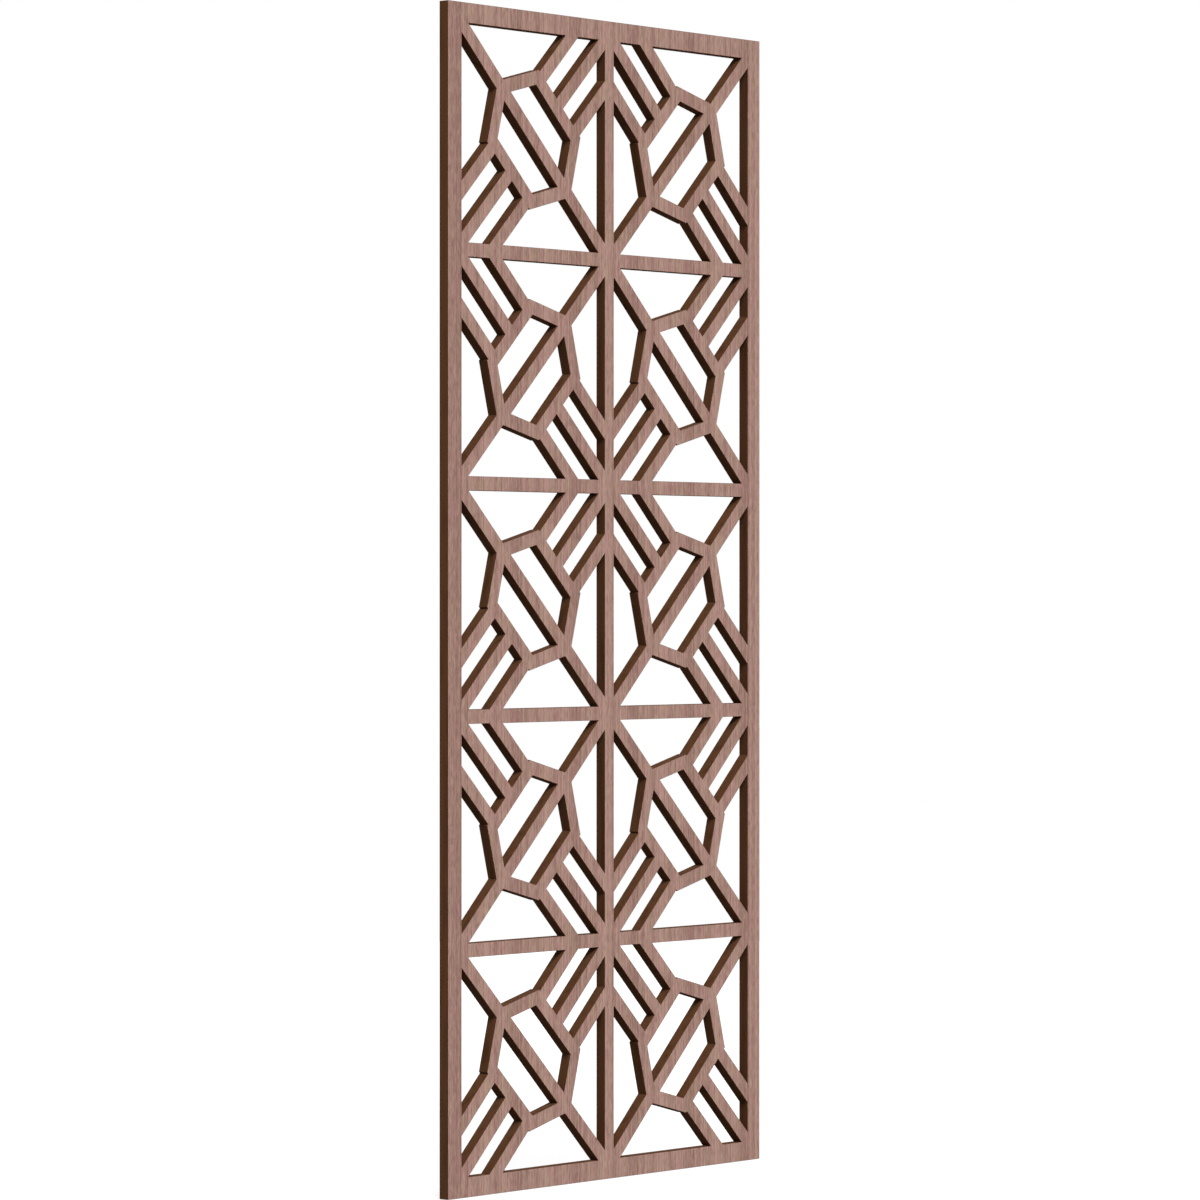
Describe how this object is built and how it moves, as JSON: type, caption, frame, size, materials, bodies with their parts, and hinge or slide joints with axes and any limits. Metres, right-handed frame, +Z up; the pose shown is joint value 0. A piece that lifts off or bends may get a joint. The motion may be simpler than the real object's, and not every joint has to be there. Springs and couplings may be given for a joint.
{
  "type": "mashrabiya screen panel",
  "caption": "Flat wooden mashrabiya screen: a board pierced with a mirrored lattice of hexagons, diagonal bars and strips inside a plain border, to fix to a wall or hang in an opening.",
  "frame": {"origin": "centre of the panel's back face, the face that lies against what the panel is fixed to", "axes": "+Z up along the panel's long side, +X to the right as seen from the front, +Y out of the back, so the front faces -Y"},
  "size_m": [0.4064, 0.0095, 0.9836],
  "materials": {
    "walnut_board": "satin, grain upright on both faces, cut edges dark brown"
  },
  "bodies": {
    "root": {"fretwork_panel": "walnut_board"}
  },
  "joints": []
}
